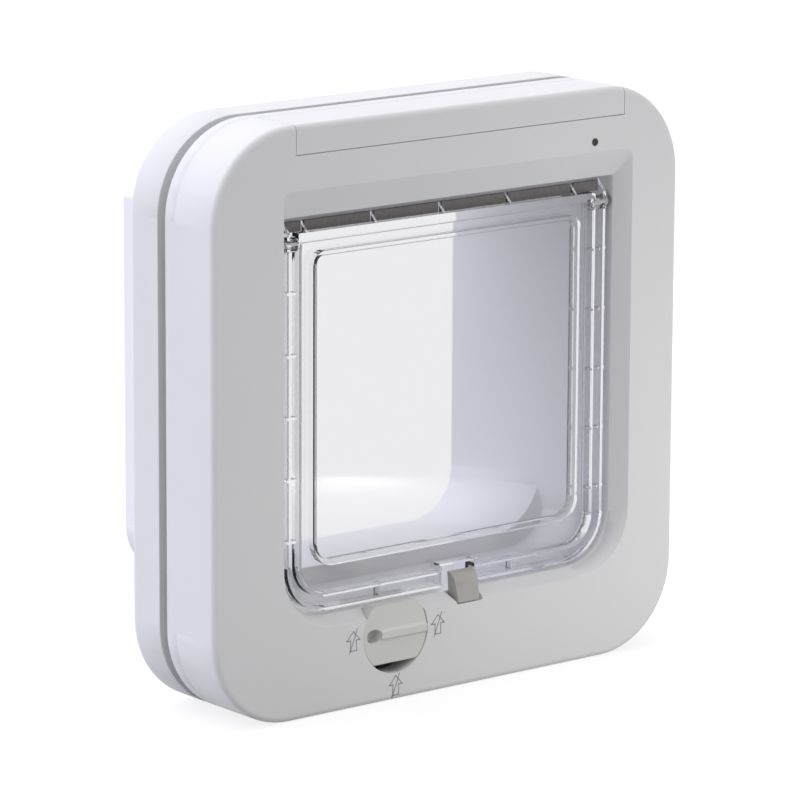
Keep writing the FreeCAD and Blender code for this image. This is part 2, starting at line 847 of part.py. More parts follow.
def motor_crank():
    arm = rod_y(crank_x, crank_z, crank_boss_radius, crank_front, crank_back)
    narrow = crank_pin_radius + crank_eye_wall
    end = rod_y(pin_rest_x, pin_rest_z, narrow, crank_front, crank_back)
    slope = radians(crank_swing / 2)
    side_x = -sin(slope)
    side_z = cos(slope)
    wide = crank_boss_radius
    web = (
        (crank_x + side_x * wide, crank_z + side_z * wide),
        (pin_rest_x + side_x * narrow, pin_rest_z + side_z * narrow),
        (pin_rest_x - side_x * narrow, pin_rest_z - side_z * narrow),
        (crank_x - side_x * wide, crank_z - side_z * wide),
    )
    pin = rod_y(pin_rest_x, pin_rest_z, crank_pin_radius, latch_front, crank_front + crank_arm / 2)
    shaft_end = motor_front + motor_shaft_depth
    shaft = rod_y(crank_x, crank_z, motor_shaft_radius, crank_front + crank_arm / 2, shaft_end)
    return arm.fuse([end, prism_y(web, crank_front, crank_back), pin, shaft]).removeSplitter()


def latch_motor():
    can = rod_y(crank_x, crank_z, motor_radius, motor_front, motor_front + motor_length)
    side = motor_radius + 1
    keep = box(
        crank_x - side,
        crank_x + side,
        0,
        housing_depth,
        crank_z - motor_half_height,
        crank_z + motor_half_height,
    )
    can = can.common(keep)
    bore_end = motor_front + motor_shaft_depth + slip_gap
    bore = rod_y(crank_x, crank_z, motor_shaft_radius + shaft_running_gap, 0, bore_end)
    return can.cut(bore)


def latch_bracket():
    """The plate that carries the motor, with two ribs that guide the latch."""
    stem_half = latch_width / 2 + guide_gap
    left = latch_x - stem_half - guide_rib
    right = bracket_right
    top = tunnel_floor - tunnel_wall - slip_gap
    low = crank_z - motor_radius
    guide_low = crank_z + crank_boss_radius + guide_gap + latch_travel / 2
    shape = box(left, right, bracket_front, motor_front, low, top)
    guide_high = face_opening_low - funnel_wall - slip_gap
    for x in (left, latch_x + stem_half):
        shape = shape.fuse(box(x, x + guide_rib, wall + touch_gap, motor_front, guide_low, guide_high))
    shaft_hole = rod_y(crank_x, crank_z, motor_shaft_radius + 1, 0, housing_depth)
    cradle_back = motor_front + motor_length - 2 * guide_rib
    shelf_high = crank_z - motor_half_height - touch_gap
    shelf_low = shelf_high - 2 * guide_rib
    shelf_left = crank_x - motor_radius
    shelf_right = crank_x + motor_radius
    shelf = box(shelf_left, shelf_right, bracket_front, cradle_back, shelf_low, shelf_high)
    shape = shape.fuse(shelf).cut(shaft_hole)
    for x, z in bracket_screw_places():
        shape = shape.cut(rod_y(x, z, small_screw_radius + touch_gap, 0, housing_depth))
    return shape.removeSplitter()


def lock_knob():
    """A disc with two flats that the flap's lower edge passes over, and a low grip on its right half."""
    disc = rod_y(knob_x, knob_z, knob_radius, knob_face, knob_back)
    reach = knob_radius + 1
    keep = box(knob_x - reach, knob_x + reach, -half, half, knob_z - knob_flat, knob_z + knob_flat)
    foot = knob_face + grip_sink
    wide = grip_half_height + grip_slope
    grip = (
        (-grip_proud, knob_z - grip_half_height),
        (-grip_proud, knob_z + grip_half_height),
        (foot, knob_z + wide),
        (foot, knob_z - wide),
    )
    bar = prism_x(grip, knob_x - grip_start, knob_x + knob_radius)
    bar = bar.common(rod_y(knob_x, knob_z, knob_radius - knob_gap, -half, half))
    solid = disc.common(keep).fuse(bar)
    socket_front = knob_back - knob_socket_depth
    socket = rod_y(knob_x, knob_z, knob_shaft_radius + pin_seat_gap, socket_front, knob_back + 1)
    return solid.cut(knob_dimple().fuse(socket)).removeSplitter()


def knob_dimple():
    """A finger dimple at the left of the knob, a little longer than high."""
    floor = knob_face + dimple_depth
    middle = knob_x - dimple_middle
    left = middle - dimple_length / 2
    right = middle + dimple_length / 2
    top = knob_z + dimple_radius
    low = knob_z - dimple_radius
    first = rod_y(left, knob_z, dimple_radius, -grip_proud, floor)
    second = rod_y(right, knob_z, dimple_radius, -grip_proud, floor)
    return first.fuse([second, box(left, right, -grip_proud, floor, low, top)]).removeSplitter()


def clip_front():
    return pocket_back + touch_gap


def knob_shaft():
    start = knob_back - knob_socket_depth + pin_seat_gap
    front = clip_front()
    back = front + clip_thickness
    shaft = rod_y(knob_x, knob_z, knob_shaft_radius, start, knob_shaft_end)
    groove = rod_y(knob_x, knob_z, clip_radius, front, back)
    core = rod_y(knob_x, knob_z, knob_shaft_radius - clip_groove_depth, front, back)
    return shaft.cut(groove.cut(core))


def knob_clip():
    """A spring clip that snaps into the shaft's groove from one side."""
    front = clip_front() + pin_seat_gap
    back = clip_front() + clip_thickness - pin_seat_gap
    hole = knob_shaft_radius - clip_groove_depth + pin_seat_gap
    ring = rod_y(knob_x, knob_z, clip_radius, front, back)
    ring = ring.cut(rod_y(knob_x, knob_z, hole, front - 1, back + 1))
    mouth = knob_shaft_radius * clip_mouth_part
    low = knob_z - clip_radius - 1
    return ring.cut(box(knob_x - mouth, knob_x + mouth, front - 1, back + 1, low, knob_z))


def rear_lock_cam():
    """A disc behind the flap with flats on two sides and round on the other two."""
    disc = rod_y(knob_x, knob_z, cam_radius, cam_front, cam_back)
    reach = cam_radius + 1
    keep = box(knob_x - reach, knob_x + cam_flat, 0, housing_depth, knob_z - reach, knob_z + cam_flat)
    hub = rod_y(knob_x, knob_z, cam_hub_radius, cam_front - cam_flap_gap, cam_back)
    solid = disc.common(keep).fuse(hub)
    bore = rod_y(knob_x, knob_z, knob_shaft_radius + pin_seat_gap, 0, housing_depth)
    return solid.cut(bore).removeSplitter()


def battery_cells():
    """Four cells, two in each row, with the rows staggered up the slope of the bay."""
    cells = []
    for row, (y, z) in enumerate(((row_low_y, row_low_z), (row_high_y, row_high_z))):
        for place in range(2):
            start = cell_start + place * (cell_pitch + cell_gap)
            nub_first = row == 1
            can_start = start + cell_nub_length if nub_first else start
            can = rod_x(y, z, cell_radius, can_start, can_start + cell_length)
            rounds = [edge for edge in can.Edges if edge.Curve.TypeId == "Part::GeomCircle"]
            can = can.makeFillet(cell_edge_radius, rounds)
            nub_start = start if nub_first else start + cell_length - cell_nub_root
            nub_end = nub_start + cell_nub_length + cell_nub_root
            nub = rod_x(y, z, cell_nub_radius, nub_start, nub_end)
            cells.append(can.fuse(nub).removeSplitter())
    return cells


def battery_tray():
    """End walls joined by a beam that follows the undersides of both rows."""
    left = cell_start - contact_room
    right = cell_end + contact_room
    front = wall + tray_front_gap
    front_low = row_low_z + tray_edge_rise
    beam_high = row_high_z - tray_beam_top
    beam_back = row_high_y + tray_beam_back
    beam_low = row_low_z - cell_radius + tray_edge_rise
    heel = row_high_y - tray_beam_front
    beam = (
        (front, front_low),
        (front, beam_high),
        (beam_back, beam_high),
        (beam_back, beam_low),
        (heel, beam_low),
    )
    solid = prism_x(beam, left, right)
    seat = cell_radius + cell_seat_gap
    for y, z in ((row_low_y, row_low_z), (row_high_y, row_high_z)):
        solid = solid.cut(rod_x(y, z, seat, left - 1, right + 1))
    back = inside_back - touch_gap
    low = row_low_z - cell_radius
    high = half - wall - cover_skirt - cover_skirt_gap
    end_wall = (
        (front, front_low),
        (front, high),
        (back, high),
        (back, low),
        (heel, beam_low),
    )
    for x in (left - tray_wall, right):
        solid = solid.fuse(prism_x(end_wall, x, x + tray_wall))
    return solid.removeSplitter()


def battery_contacts():
    """Two plates at the left end and two at the right, each pressed against its end wall."""
    plates = []
    reach = cell_radius - contact_inset
    for x in (cell_start - contact_room, cell_end + contact_room - contact_plate):
        for y, z in ((row_low_y, row_low_z), (row_high_y, row_high_z)):
            plates.append(rod_x(y, z, reach, x, x + contact_plate))
    return Part.makeCompound(plates)


def contact_spring(x, y, z, reach):
    """A bent leaf spring that stands on the contact plate at x and presses on the flat end of a cell."""
    foot = z - spring_height / 2
    tip = z + spring_height / 2
    toward = 1 if reach > 0 else -1
    crown = x + reach - toward * spring_tip_gap
    profile = (
        (x, foot),
        (x, foot - spring_foot),
        (crown, z),
        (x + toward * 2 * contact_plate, tip),
        (x + toward * contact_plate, tip),
        (crown - toward * spring_crown_thickness, z),
    )
    return prism_y(profile, y - spring_width / 2, y + spring_width / 2)


def battery_springs():
    left = cell_start - contact_room + contact_plate
    right = cell_end + contact_room - contact_plate
    reach = contact_room - contact_plate
    return Part.makeCompound([
        contact_spring(left, row_low_y, row_low_z, reach),
        contact_spring(right, row_high_y, row_high_z, -reach),
    ])


def antenna_coil():
    """The flat winding round the tunnel that reads the chip."""
    grow = antenna_gap + antenna_thickness
    outer = slab(tunnel_outside(antenna_front, tunnel_ceiling, grow), antenna_width)
    return outer.cut(slab(tunnel_outside(antenna_front, tunnel_ceiling, antenna_gap), antenna_width))


def circuit_board():
    right = board_x + board_width
    board = box(board_x, right, board_y, board_back, -board_half_height, board_half_height)
    return drilled(board, board_screw_places()[:2])


def drilled(board, places):
    for x, z in places:
        board = board.cut(rod_y(x, z, small_screw_radius + touch_gap, board_y - 1, board_back + 1))
    return board


def control_chip():
    middle_x = board_x + board_width / 2
    side = chip_size / 2
    return box(middle_x - side, middle_x + side, board_y - chip_thickness, board_y, -side, side)


def switch_board():
    right = switch_board_left + switch_board_width
    high = switch_board_low + switch_board_height
    board = box(switch_board_left, right, board_y, board_back, switch_board_low, high)
    return drilled(board, board_screw_places()[2:])


def memory_switch():
    """The switch body under the button, against the front of its board."""
    side = switch_size / 2
    low = switch_board_low + switch_rise
    high = low + switch_height
    body = box(button_x - side, button_x + side, board_y - switch_size, board_y, low, high)
    bore = button_radius + shaft_running_gap
    return body.cut(rod_z(button_x, board_y - side, bore, low + switch_floor, high + 1))


def memory_button():
    low = switch_board_low + switch_rise + switch_floor + button_travel + slip_gap
    middle_y = board_y - switch_size / 2
    stem = rod_z(button_x, middle_y, button_radius, low, low + button_length)
    top = [edge for edge in stem.Edges if abs(edge.BoundBox.ZMin - low - button_length) < 0.01]
    return stem.makeFillet(button_edge_radius, top)


def led_lens():
    """A light pipe from the board to the dot in the face."""
    pipe = rod_y(led_x, led_z, led_radius, -led_proud, board_y)
    seat = wall + touch_gap
    collar = rod_y(led_x, led_z, led_collar_radius, seat, seat + led_collar_length)
    return pipe.fuse(collar).removeSplitter()


def seal_ring(y0, y1):
    """Foam set in from the edge of the housings, with the tunnel passing through it."""
    ring = body_ring(seal_inset, seal_inset + seal_width, y0, y1)
    for x, z in four(fixing_x, fixing_z):
        ring = ring.cut(rod_y(x, z, fixing_radius + fixing_clear_gap, y0 - 1, y1 + 1))
    return ring


def exterior_frame():
    solid = body_slab(0, frame_front, frame_back)
    solid = solid.makeFillet(rear_edge_radius, edges_in_plane(solid, frame_back))
    solid = solid.cut(body_slab(wall, frame_front, frame_back - wall))
    ring_low = tunnel_outside(frame_front, tunnel_ceiling, slip_gap + wall)
    solid = solid.fuse(slab(ring_low, frame_depth - wall / 2))
    inner_edge = seal_inset + seal_width + 1
    solid = solid.fuse(body_ring(wall / 2, inner_edge, frame_front, frame_front + wall))
    turret = cap_radius + slip_gap + cap_wall
    for x, z in four(fixing_x, fixing_z):
        solid = solid.fuse(rod_y(x, z, turret, frame_front, frame_back - wall / 2))
    solid = solid.cut(slab(tunnel_outside(frame_front - 1, tunnel_ceiling, slip_gap), frame_depth + 2))
    seat = frame_back - counterbore_depth
    for x, z in four(fixing_x, fixing_z):
        solid = solid.cut(rod_y(x, z, fixing_radius + fixing_clear_gap, frame_front - 1, frame_back + 1))
        solid = solid.cut(rod_y(x, z, cap_radius + touch_gap, seat, frame_back + 1))
    return solid.removeSplitter()


def fixing_screws():
    """Long screws from the outer frame's counterbores into the front half's bosses."""
    seat = frame_back - counterbore_depth
    start = housing_depth - fixing_depth_in_housing + screw_tip_gap
    top = seat + fixing_head_height
    screws = []
    for x, z in four(fixing_x, fixing_z):
        shank = rod_y(x, z, fixing_radius - pin_seat_gap, start, seat + fixing_head_height / 2)
        head = rod_y(x, z, fixing_head_radius, seat, top)
        head = head.makeFillet(fixing_head_edge_radius, edges_in_plane(head, top))
        slot = cross_slot(x, z, top, fixing_slot_depth)
        screws.append(shank.fuse(head).cut(slot).removeSplitter())
    return Part.makeCompound(screws)


def cross_slot(x, z, y, depth):
    flat = box(x - slot_arm, x + slot_arm, y - depth, y + 1, z - slot_half_width, z + slot_half_width)
    upright = box(x - slot_half_width, x + slot_half_width, y - depth, y + 1, z - slot_arm, z + slot_arm)
    return flat.fuse(upright)


def screw_caps():
    front = frame_back - cap_depth
    back = frame_back + cap_proud
    caps = []
    for x, z in four(fixing_x, fixing_z):
        cap = rod_y(x, z, cap_radius, front, back)
        cap = cap.makeFillet(cap_edge_radius, edges_in_plane(cap, back))
        caps.append(cap.cut(rod_y(x, z, cap_radius - cap_wall, front - 1, frame_back - cap_wall)))
    return Part.makeCompound(caps)


def housing_screws():
    seat = housing_depth - screw_head_height
    start = inside_back - screw_length + screw_tip_gap
    screws = []
    for x, z in four(screw_x, screw_z):
        shank = rod_y(x, z, screw_radius - pin_seat_gap, start, seat + screw_head_height / 2)
        head = rod_y(x, z, screw_head_radius, seat, housing_depth - pin_running_gap)
        slot = cross_slot(x, z, housing_depth, screw_slot_depth)
        screws.append(shank.fuse(head).cut(slot).removeSplitter())
    return Part.makeCompound(screws)


def board_screws():
    return Part.makeCompound([small_screw(x, z, board_y, 1) for x, z in board_screw_places()])


def bracket_screws():
    return Part.makeCompound([small_screw(x, z, motor_front, -1) for x, z in bracket_screw_places()])


def all_parts():
    parts = {
        "front_bezel": front_bezel(),
        "back_housing": back_housing(),
        "tunnel": tunnel(),
        "battery_cover": battery_cover(),
        "battery_tray": battery_tray(),
        "battery_contacts": battery_contacts(),
        "battery_springs": battery_springs(),
        "antenna_coil": antenna_coil(),
        "circuit_board": circuit_board(),
        "control_chip": control_chip(),
        "switch_board": switch_board(),
        "memory_switch": memory_switch(),
        "memory_button": memory_button(),
        "led_lens": led_lens(),
        "latch_bracket": latch_bracket(),
        "latch_motor": latch_motor(),
        "motor_crank": motor_crank(),
        "latch_slider": latch_slider(),
        "lock_knob": lock_knob(),
        "knob_shaft": knob_shaft(),
        "knob_clip": knob_clip(),
        "rear_lock_cam": rear_lock_cam(),
        "flap": flap(),
        "draught_strip": draught_strip(),
        "hinge_pin_left": hinge_pin(-1),
        "hinge_pin_right": hinge_pin(1),
        "inner_seal": seal_ring(housing_depth, housing_depth + seal_thickness),
        "outer_seal": seal_ring(frame_front - seal_thickness, frame_front),
        "exterior_frame": exterior_frame(),
        "fixing_screws": fixing_screws(),
        "screw_caps": screw_caps(),
        "housing_screws": housing_screws(),
        "board_screws": board_screws(),
        "bracket_screws": bracket_screws(),
    }
    for number, cell in enumerate(battery_cells(), 1):
        parts["battery_cell_" + str(number)] = cell
    return parts


def write(parts):
    """Move every piece so that the whole stands on Z = 0, centred over the origin, and write it."""
    front = -grip_proud
    to_stand = V(0, -(front + tunnel_end) / 2, half)
    os.makedirs("parts", exist_ok=True)
    for name, shape in parts.items():
        shape.translate(to_stand)
        shape.exportStep("parts/" + name + ".step")
        print(name, len(shape.Solids), round(shape.Volume, 1), shape.isValid())


write(all_parts())
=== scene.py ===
import json
from math import cos, radians, sin

import bpy
from mathutils import Matrix, Vector


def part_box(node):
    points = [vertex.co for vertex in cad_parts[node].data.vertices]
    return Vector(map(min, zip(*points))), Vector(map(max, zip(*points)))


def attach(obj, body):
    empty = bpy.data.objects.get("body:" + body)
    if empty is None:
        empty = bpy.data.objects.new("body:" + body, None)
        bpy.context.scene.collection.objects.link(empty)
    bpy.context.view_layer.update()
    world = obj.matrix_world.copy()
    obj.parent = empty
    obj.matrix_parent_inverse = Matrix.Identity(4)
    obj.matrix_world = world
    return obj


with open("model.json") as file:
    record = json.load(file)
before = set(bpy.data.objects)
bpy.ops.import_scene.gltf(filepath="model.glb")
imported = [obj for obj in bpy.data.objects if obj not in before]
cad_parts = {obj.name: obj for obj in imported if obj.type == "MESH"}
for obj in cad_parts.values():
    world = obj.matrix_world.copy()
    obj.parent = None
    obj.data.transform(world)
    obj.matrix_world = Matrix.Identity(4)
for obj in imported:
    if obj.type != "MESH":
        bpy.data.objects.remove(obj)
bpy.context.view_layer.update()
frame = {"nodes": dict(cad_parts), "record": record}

MM = 0.001
NODES = frame["nodes"]

# The photograph's view: turned towards the right-hand side, looking a little down
VIEW_YAW = radians(38.87)
VIEW_PITCH = radians(12.33)
VIEW_ROLL = radians(0.27)
VIEW_TARGET = Vector((-0.0144, -0.0366, 0.1052))
VIEW_DISTANCE = 1.7594
VIEW_LENS = 224.64
SENSOR = 36.0
VIEW_FAR = 100.0

# Light: a faint surround, a broad light above, a cool one behind to the left and a small soft lamp close by,
# low at the right-hand front
SURROUND = (0.12, 0.12, 0.12)
LOBES = (
    ((0.0, 0.0, 1.0), (0.98, 0.98, 0.97)),
    ((-0.6, 0.8, 0.0), (1.60, 1.60, 2.00)),
)
LAMP_PLACE = Vector((0.18, -0.32, 0.03))
LAMP_SIZE = 0.06
LAMP_POWER = 0.28
WHITE = (1.0, 1.0, 1.0)

# The floor has one look where it is seen and another for the light that it throws back on the part
FLOOR_COLOUR = (0.24, 0.24, 0.24)
FLOOR_BOUNCE = (0.38, 0.38, 0.375)
FLOOR_GLOW = 0.82
FLOOR_SIZE = 14.0

# Moulded plastic: how strong its grain is and how far its polish strays to either side
GRAIN_STRENGTH = 0.35
POLISH_SPREAD = 0.12

# How much of a lamp's light each surface of the clear plastic lets straight through
CLEAR_SHADOW = (0.72, 0.72, 0.74)

# Printed marks beside the knob: a plain arrow with a stroke through it
PRINT_THICKNESS = 0.04 * MM
PRINT_LIFT = 0.01 * MM
PRINT_LINE = 0.36 * MM
PRINT_REACH_X = 19.1 * MM
PRINT_REACH_Z = 19.2 * MM
ARROW_HALF_HEIGHT = 3.5 * MM
ARROW_HALF_WIDTH = 2.9 * MM
ARROW_STEM = 1.3 * MM
ARROW_SHOULDER = 0.3 * MM
STROKE_HALF_WIDTH = 1.7 * MM
STROKE_HALF_HEIGHT = 4.3 * MM

# Points closer than this are joined before an edge is rounded
WELD_REACH = 0.001 * MM


class Tree:
    """A node tree that is built by name, so that a material reads from top to bottom."""

    def __init__(self, owner):
        owner.use_nodes = True
        self.tree = owner.node_tree
        self.tree.nodes.clear()

    def add(self, kind, sockets=None, **settings):
        node = self.tree.nodes.new(kind)
        for name, value in settings.items():
            setattr(node, name, value)
        for name, value in (sockets or {}).items():
            socket = node.inputs[name]
            if isinstance(value, bpy.types.NodeSocket):
                self.tree.links.new(value, socket)
            else:
                socket.default_value = value
        return node

    def noise(self, coordinate, scale, detail=2.0, roughness=0.5):
        sockets = {"Vector": coordinate, "Scale": scale, "Detail": detail, "Roughness": roughness}
        return self.add("ShaderNodeTexNoise", sockets).outputs["Fac"]

    def ranged(self, value, low, high):
        sockets = {"Value": value, "To Min": low, "To Max": high}
        return self.add("ShaderNodeMapRange", sockets).outputs["Result"]

    def coordinate(self, name="Object"):
        return self.add("ShaderNodeTexCoord").outputs[name]


def rgba(colour):
    return (*colour, 1.0)


def shaded(colour, share):
    return rgba([channel * share for channel in colour])


def moulded(name, colour, roughness=0.42, grain=2600.0, depth=0.04, mottle=0.03):
    """Moulded plastic: a fine grain, slight flow marks in its colour and an uneven polish."""
    material = bpy.data.materials.new(name)
    tree = Tree(material)
    place = tree.coordinate()
    flow = tree.noise(place, 14.0, 3.0)
    fine = tree.noise(place, grain, 2.0)
    mix = tree.add(
        "ShaderNodeMix",
        {"Factor": flow, "A": shaded(colour, 1 - mottle), "B": shaded(colour, 1 + mottle)},
        data_type="RGBA",
    )
    dull = tree.noise(place, 60.0, 4.0)
    polish = tree.ranged(dull, roughness * (1 - POLISH_SPREAD), roughness * (1 + POLISH_SPREAD))
    bump = tree.add("ShaderNodeBump", {"Height": fine, "Strength": GRAIN_STRENGTH, "Distance": depth * MM})
    surface = {"Base Color": mix.outputs["Result"], "Roughness": polish, "Normal": bump.outputs["Normal"]}
    shader = tree.add("ShaderNodeBsdfPrincipled", surface)
    tree.add("ShaderNodeOutputMaterial", {"Surface": shader.outputs["BSDF"]})
    return material


def metal(name, colour, roughness, stretch=(1.0, 1.0, 1.0)):
    """Plated metal with fine turning lines along one direction."""
    material = bpy.data.materials.new(name)
    tree = Tree(material)
    place = tree.add("ShaderNodeMapping", {"Vector": tree.coordinate(), "Scale": stretch}).outputs["Vector"]
    lines = tree.noise(place, 900.0, 3.0)
    mix = tree.add(
        "ShaderNodeMix",
        {"Factor": lines, "A": shaded(colour, 0.9), "B": shaded(colour, 1.05)},
        data_type="RGBA",
    )
    polish = tree.ranged(lines, roughness * 0.7, roughness * 1.3)
    bump = tree.add("ShaderNodeBump", {"Height": lines, "Strength": 0.2, "Distance": 0.02 * MM})
    surface = {
        "Base Color": mix.outputs["Result"],
        "Metallic": 1.0,
        "Roughness": polish,
        "Normal": bump.outputs["Normal"],
    }
    shader = tree.add("ShaderNodeBsdfPrincipled", surface)
    tree.add("ShaderNodeOutputMaterial", {"Surface": shader.outputs["BSDF"]})
    return material


def clear_plastic(name, colour):
    """Clear moulded polycarbonate with faint flow waves and a little haze.

    Lamp light takes a set share through it in place of being traced.
    """
    material = bpy.data.materials.new(name)
    tree = Tree(material)
    place = tree.coordinate()
    waves = tree.noise(place, 28.0, 2.0)
    haze = tree.ranged(tree.noise(place, 160.0, 4.0), 0.015, 0.05)
    bump = tree.add("ShaderNodeBump", {"Height": waves, "Strength": 0.03, "Distance": 0.3 * MM})
    surface = {
        "Base Color": rgba(colour),
        "Roughness": haze,
        "IOR": 1.58,
        "Transmission Weight": 1.0,
        "Normal": bump.outputs["Normal"],
    }
    shader = tree.add("ShaderNodeBsdfPrincipled", surface)
    path = tree.add("ShaderNodeLightPath")
    through = tree.add("ShaderNodeBsdfTransparent", {"Color": rgba(CLEAR_SHADOW)})
    shadow = path.outputs["Is Shadow Ray"]
    mixed = tree.add("ShaderNodeMixShader", {0: shadow, 1: shader.outputs[0], 2: through.outputs[0]})
    tree.add("ShaderNodeOutputMaterial", {"Surface": mixed.outputs[0]})
    return material


def pile(name, colour):
    """Short brushed pile: fine upright tufts with dark gaps between them. Its dark brown is partly the
    strip's own colour and partly painted shade standing in for the deep shadow gap around the flap.
    """
    material = bpy.data.materials.new(name)
    tree = Tree(material)
    place = tree.add("ShaderNodeMapping", {"Vector": tree.coordinate(), "Scale": (1.0, 1.0, 0.15)})
    tufts = tree.noise(place.outputs["Vector"], 1500.0, 3.0, 0.7)
    mix = tree.add(
        "ShaderNodeMix",
        {"Factor": tufts, "A": shaded(colour, 0.55), "B": shaded(colour, 1.45)},
        data_type="RGBA",
    )
    bump = tree.add("ShaderNodeBump", {"Height": tufts, "Strength": 0.8, "Distance": 0.3 * MM})
    surface = {"Base Color": mix.outputs["Result"], "Roughness": 0.95, "Normal": bump.outputs["Normal"]}
    shader = tree.add("ShaderNodeBsdfPrincipled", surface)
    tree.add("ShaderNodeOutputMaterial", {"Surface": shader.outputs["BSDF"]})
    return material


def foam(name, colour):
    """Closed-cell foam: small pits and a dry surface."""
    material = bpy.data.materials.new(name)
    tree = Tree(material)
    place = tree.coordinate()
    cells = tree.add("ShaderNodeTexVoronoi", {"Vector": place, "Scale": 1400.0}).outputs["Distance"]
    mix = tree.add(
        "ShaderNodeMix",
        {"Factor": cells, "A": shaded(colour, 0.7), "B": shaded(colour, 1.1)},
        data_type="RGBA",
    )
    bump = tree.add("ShaderNodeBump", {"Height": cells, "Strength": 0.6, "Distance": 0.2 * MM})
    surface = {"Base Color": mix.outputs["Result"], "Roughness": 0.9, "Normal": bump.outputs["Normal"]}
    shader = tree.add("ShaderNodeBsdfPrincipled", surface)
    tree.add("ShaderNodeOutputMaterial", {"Surface": shader.outputs["BSDF"]})
    return material


def winding(name, colour):
    """Enamelled wire wound in tight turns along the tunnel."""
    material = bpy.data.materials.new(name)
    tree = Tree(material)
    wave = tree.add(
        "ShaderNodeTexWave",
        {"Vector": tree.coordinate(), "Scale": 700.0, "Distortion": 0.4, "Detail": 1.0},
        bands_direction="Y",
    ).outputs["Fac"]
    mix = tree.add(
        "ShaderNodeMix",
        {"Factor": wave, "A": shaded(colour, 0.45), "B": shaded(colour, 1.1)},
        data_type="RGBA",
    )
    bump = tree.add("ShaderNodeBump", {"Height": wave, "Strength": 0.7, "Distance": 0.1 * MM})
    surface = {
        "Base Color": mix.outputs["Result"],
        "Metallic": 0.6,
        "Roughness": 0.35,
        "Normal": bump.outputs["Normal"],
    }
    shader = tree.add("ShaderNodeBsdfPrincipled", surface)
    tree.add("ShaderNodeOutputMaterial", {"Surface": shader.outputs["BSDF"]})
    return material


def slot_materials():
    shell = (0.80, 0.80, 0.80)
    return {
        "grey_face": moulded("face_plastic", shell),
        "white_shell": moulded("shell_plastic", shell),
        "tunnel_white": moulded("tunnel_plastic", (0.92, 0.92, 0.93), roughness=0.34, depth=0.003),
        "knob_grey": moulded("knob_plastic", (0.72, 0.72, 0.68), roughness=0.38),
        "latch_grey": moulded("latch_plastic", (0.44, 0.42, 0.40), roughness=0.4),
        "clear_flap": clear_plastic("flap_polycarbonate", (0.76, 0.76, 0.77)),
        # the pile's dark brown is partly its own colour and partly painted shade for the deep gap around the
        # flap
        "pile_strip": pile("strip_pile_and_gap_shade", (0.22, 0.205, 0.20)),
        "steel_pin": metal("pin_steel", (0.62, 0.62, 0.62), 0.25, (1.0, 8.0, 8.0)),
        "screw_steel": metal("screw_plate", (0.72, 0.72, 0.73), 0.3),
        "seal_foam": foam("seal_foam", (0.16, 0.16, 0.165)),
        "inner_plastic": moulded("inner_plastic", (0.72, 0.72, 0.70), roughness=0.5),
        "switch_black": moulded("switch_plastic", (0.03, 0.03, 0.03), roughness=0.45),
        "button_black": moulded("button_plastic", (0.04, 0.04, 0.04), roughness=0.4),
        "contact_metal": metal("contact_plate", (0.78, 0.78, 0.76), 0.22),
        "cell_sleeve": moulded("cell_sleeve", (0.03, 0.035, 0.05), roughness=0.25, depth=0.01),
        "copper_winding": winding("copper_winding", (0.72, 0.34, 0.16)),
        "board_green": moulded("board_lacquer", (0.02, 0.16, 0.06), roughness=0.3, mottle=0.12),
        "led_dark": moulded("led_lens", (0.02, 0.01, 0.01), roughness=0.12, depth=0.0),
        "motor_steel": metal("motor_can", (0.6, 0.6, 0.61), 0.3, (6.0, 1.0, 6.0)),
    }


def dress_nodes():
    """Every carried-over piece takes the finish of the slot that the record names."""
    materials = slot_materials()
    for part in frame["record"]["subparts"]:
        piece = NODES[part["node"]]
        piece.data.materials.clear()
        piece.data.materials.append(materials[part["material_slot"]])


def soften(node, width, segments=2, angle=35.0):
    """The small moulded radius that runs along every sharp edge of a piece."""
    piece = NODES[node]
    weld = piece.modifiers.new("joined", "WELD")
    weld.merge_threshold = WELD_REACH
    bevel = piece.modifiers.new("moulded_edge", "BEVEL")
    bevel.width = width * MM
    bevel.segments = segments
    bevel.limit_method = "ANGLE"
    bevel.angle_limit = radians(angle)
    bevel.use_clamp_overlap = True
    bevel.harden_normals = True


def soften_edges():
    for node in ("front_bezel", "battery_cover", "back_housing", "exterior_frame", "tunnel"):
        soften(node, 0.35)
    soften("flap", 0.18, 2)
    soften("lock_knob", 0.5, 3)
    soften("latch_slider", 0.3)
    soften("screw_caps", 0.3)


def arrow_outline():
    return [
        (0.0, ARROW_HALF_HEIGHT),
        (ARROW_HALF_WIDTH, ARROW_SHOULDER),
        (ARROW_STEM, ARROW_SHOULDER),
        (ARROW_STEM, -ARROW_HALF_HEIGHT),
        (-ARROW_STEM, -ARROW_HALF_HEIGHT),
        (-ARROW_STEM, ARROW_SHOULDER),
        (-ARROW_HALF_WIDTH, ARROW_SHOULDER),
    ]


def add_line(vertices, faces, start, end, middle, face_y):
    """One printed line: a thin flat bar between two points on the face."""
    along = (Vector(end) - Vector(start)).normalized() * (PRINT_LINE / 2)
    across = Vector((-along.y, along.x))
    near = Vector(start) - along
    far = Vector(end) + along
    base = len(vertices)
    for y in (face_y - PRINT_LIFT, face_y - PRINT_LIFT - PRINT_THICKNESS):
        for point in (near - across, far - across, far + across, near + across):
            vertices.append((middle[0] + point.x, y, middle[1] + point.y))
    for quad in ((4, 5, 6, 7), (3, 2, 1, 0), (0, 1, 5, 4), (1, 2, 6, 5), (2, 3, 7, 6), (3, 0, 4, 7)):
        faces.append([base + corner for corner in quad])


